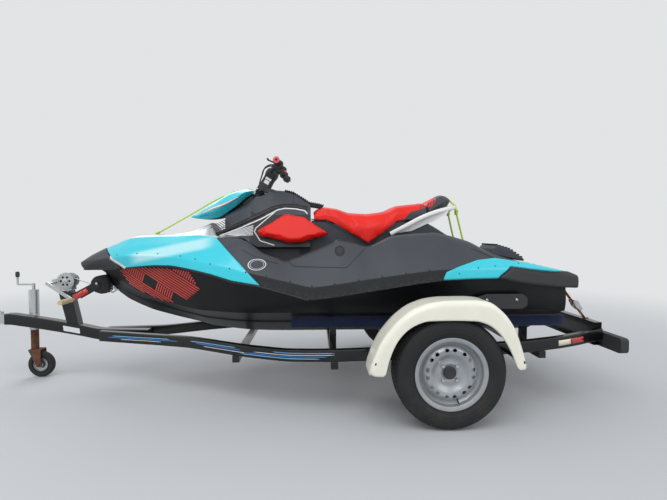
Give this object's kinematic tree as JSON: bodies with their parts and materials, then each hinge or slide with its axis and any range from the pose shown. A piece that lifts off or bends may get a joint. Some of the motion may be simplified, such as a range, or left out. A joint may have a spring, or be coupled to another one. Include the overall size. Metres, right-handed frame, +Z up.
{
  "type": "personal watercraft",
  "caption": "Sit-down personal watercraft with jet drive, resting on its single-axle road trailer with winch, jockey wheel and mudguards.",
  "frame": {"origin": "on the ground under the middle of the whole outfit", "axes": "+X forward towards the bow and the tow coupler, +Y to port, +Z up"},
  "size_m": [3.88, 1.733, 1.4291],
  "materials": {
    "black_plastic": "moulded, satin",
    "grey_plastic": "moulded, satin",
    "teal": "glossy moulded panel",
    "pale_plastic": "glossy moulded panel",
    "white_plastic": "smooth",
    "red_vinyl": "seat vinyl, fine grain",
    "grey_vinyl": "seat vinyl, fine grain",
    "black_foam": "ribbed traction mat",
    "black_alloy": "powder coated",
    "black_rubber": "matt",
    "cast_alloy": "cast",
    "stainless": "brushed",
    "black_paint": "gloss paint on steel",
    "galvanized": "galvanized",
    "lamp_plastic": "black case with red lens",
    "navy_carpet": "short pile carpet",
    "white_paint": "gloss paint",
    "silver_paint": "silver paint on steel",
    "tyre": "matt rubber",
    "rusty_paint": "worn paint with rust",
    "orange_webbing": "woven strap",
    "lime_rope": "braided line"
  },
  "bodies": {
    "outfit": {"lower_hull": "black_plastic", "deck": "grey_plastic", "nose_bumper": "grey_plastic", "bow_panel_left": "teal", "bow_panel_right": "teal", "hood": "pale_plastic", "cowl": "teal", "console": "grey_plastic", "knee_pad_left": "red_vinyl", "knee_pad_right": "red_vinyl", "seat": "red_vinyl", "seat_tail": "grey_vinyl", "grab_handle": "white_plastic", "quarter_panel_left": "teal", "quarter_panel_right": "teal", "rear_bumper_left": "black_plastic", "rear_bumper_right": "black_plastic", "foot_wedges": "black_foam", "sponsons": "black_plastic", "steering_column": "black_plastic", "engine": "cast_alloy", "jet_pump": "cast_alloy", "ride_plate": "black_alloy", "bow_eye": "stainless", "side_rail_left": "black_paint", "side_rail_right": "black_paint", "drawbar": "black_paint", "coupler": "galvanized", "crossmembers": "black_paint", "rear_beam": "black_paint", "tail_lights": "lamp_plastic", "bunks": "navy_carpet", "axle_beam": "black_paint", "mudguard_left": "white_paint", "mudguard_right": "white_paint", "winch_post": "black_paint", "bow_stop": "black_rubber", "winch_frame": "galvanized", "winch_cable": "galvanized", "jack_tube": "galvanized", "stern_straps": "orange_webbing", "tie_line": "lime_rope"},
    "steering": {"handlebar": "black_alloy", "hand_grips": "black_rubber", "control_levers": "black_plastic"},
    "nozzle": {"steering_nozzle": "cast_alloy"},
    "gate": {"reverse_gate": "grey_plastic"},
    "impeller_shaft": {"impeller": "stainless"},
    "wheel_left": {"rim_left": "silver_paint", "tyre_left": "tyre"},
    "wheel_right": {"rim_right": "silver_paint", "tyre_right": "tyre"},
    "drum": {"winch_drum": "galvanized"},
    "crank": {"winch_crank": "galvanized"},
    "leg": {"jack_leg": "galvanized"},
    "fork": {"jack_fork": "rusty_paint"},
    "jockey": {"jockey_wheel": "black_rubber"}
  },
  "joints": [
    {"name": "steering_turn", "type": "hinge", "parent": "outfit", "child": "steering", "pos_m": [0.144, 0, 1.233], "axis": [-0.5, 0, 0.866], "range_deg": [-20, 20]},
    {"name": "nozzle_turn", "type": "hinge", "parent": "outfit", "child": "nozzle", "pos_m": [-1.7143, 0, 0.452], "axis": [0, 0, 1], "range_deg": [-18, 18]},
    {"name": "gate_swing", "type": "hinge", "parent": "outfit", "child": "gate", "pos_m": [-1.6493, 0, 0.452], "axis": [0, 1, 0], "range_deg": [-50, 0]},
    {"name": "impeller_spin", "type": "hinge", "parent": "outfit", "child": "impeller_shaft", "pos_m": [-1.47, 0, 0.452], "axis": [1, 0, 0], "continuous": true},
    {"name": "wheel_left_spin", "type": "hinge", "parent": "outfit", "child": "wheel_left", "pos_m": [-0.88, 0.772, 0.281], "axis": [0, 1, 0], "continuous": true},
    {"name": "wheel_right_spin", "type": "hinge", "parent": "outfit", "child": "wheel_right", "pos_m": [-0.88, -0.772, 0.281], "axis": [0, 1, 0], "continuous": true},
    {"name": "drum_turn", "type": "hinge", "parent": "outfit", "child": "drum", "pos_m": [1.398, 0, 0.662], "axis": [0, 1, 0], "continuous": true},
    {"name": "crank_turn", "type": "hinge", "parent": "outfit", "child": "crank", "pos_m": [1.464, 0, 0.652], "axis": [0, 1, 0], "continuous": true},
    {"name": "jack_slide", "type": "slide", "parent": "outfit", "child": "leg", "axis": [0, 0, 1], "range_m": [0, 0.12]},
    {"name": "jack_swivel", "type": "hinge", "parent": "leg", "child": "fork", "pos_m": [1.678, -0.092, 0.2], "axis": [0, 0, 1], "continuous": true},
    {"name": "jockey_spin", "type": "hinge", "parent": "fork", "child": "jockey", "pos_m": [1.636, -0.092, 0.086], "axis": [0, 1, 0], "continuous": true}
  ],
  "couplings": [
    {"joint": "nozzle_turn", "follows": "steering_turn", "ratio": -0.9},
    {"joint": "crank_turn", "follows": "drum_turn", "ratio": -3.6923}
  ]
}
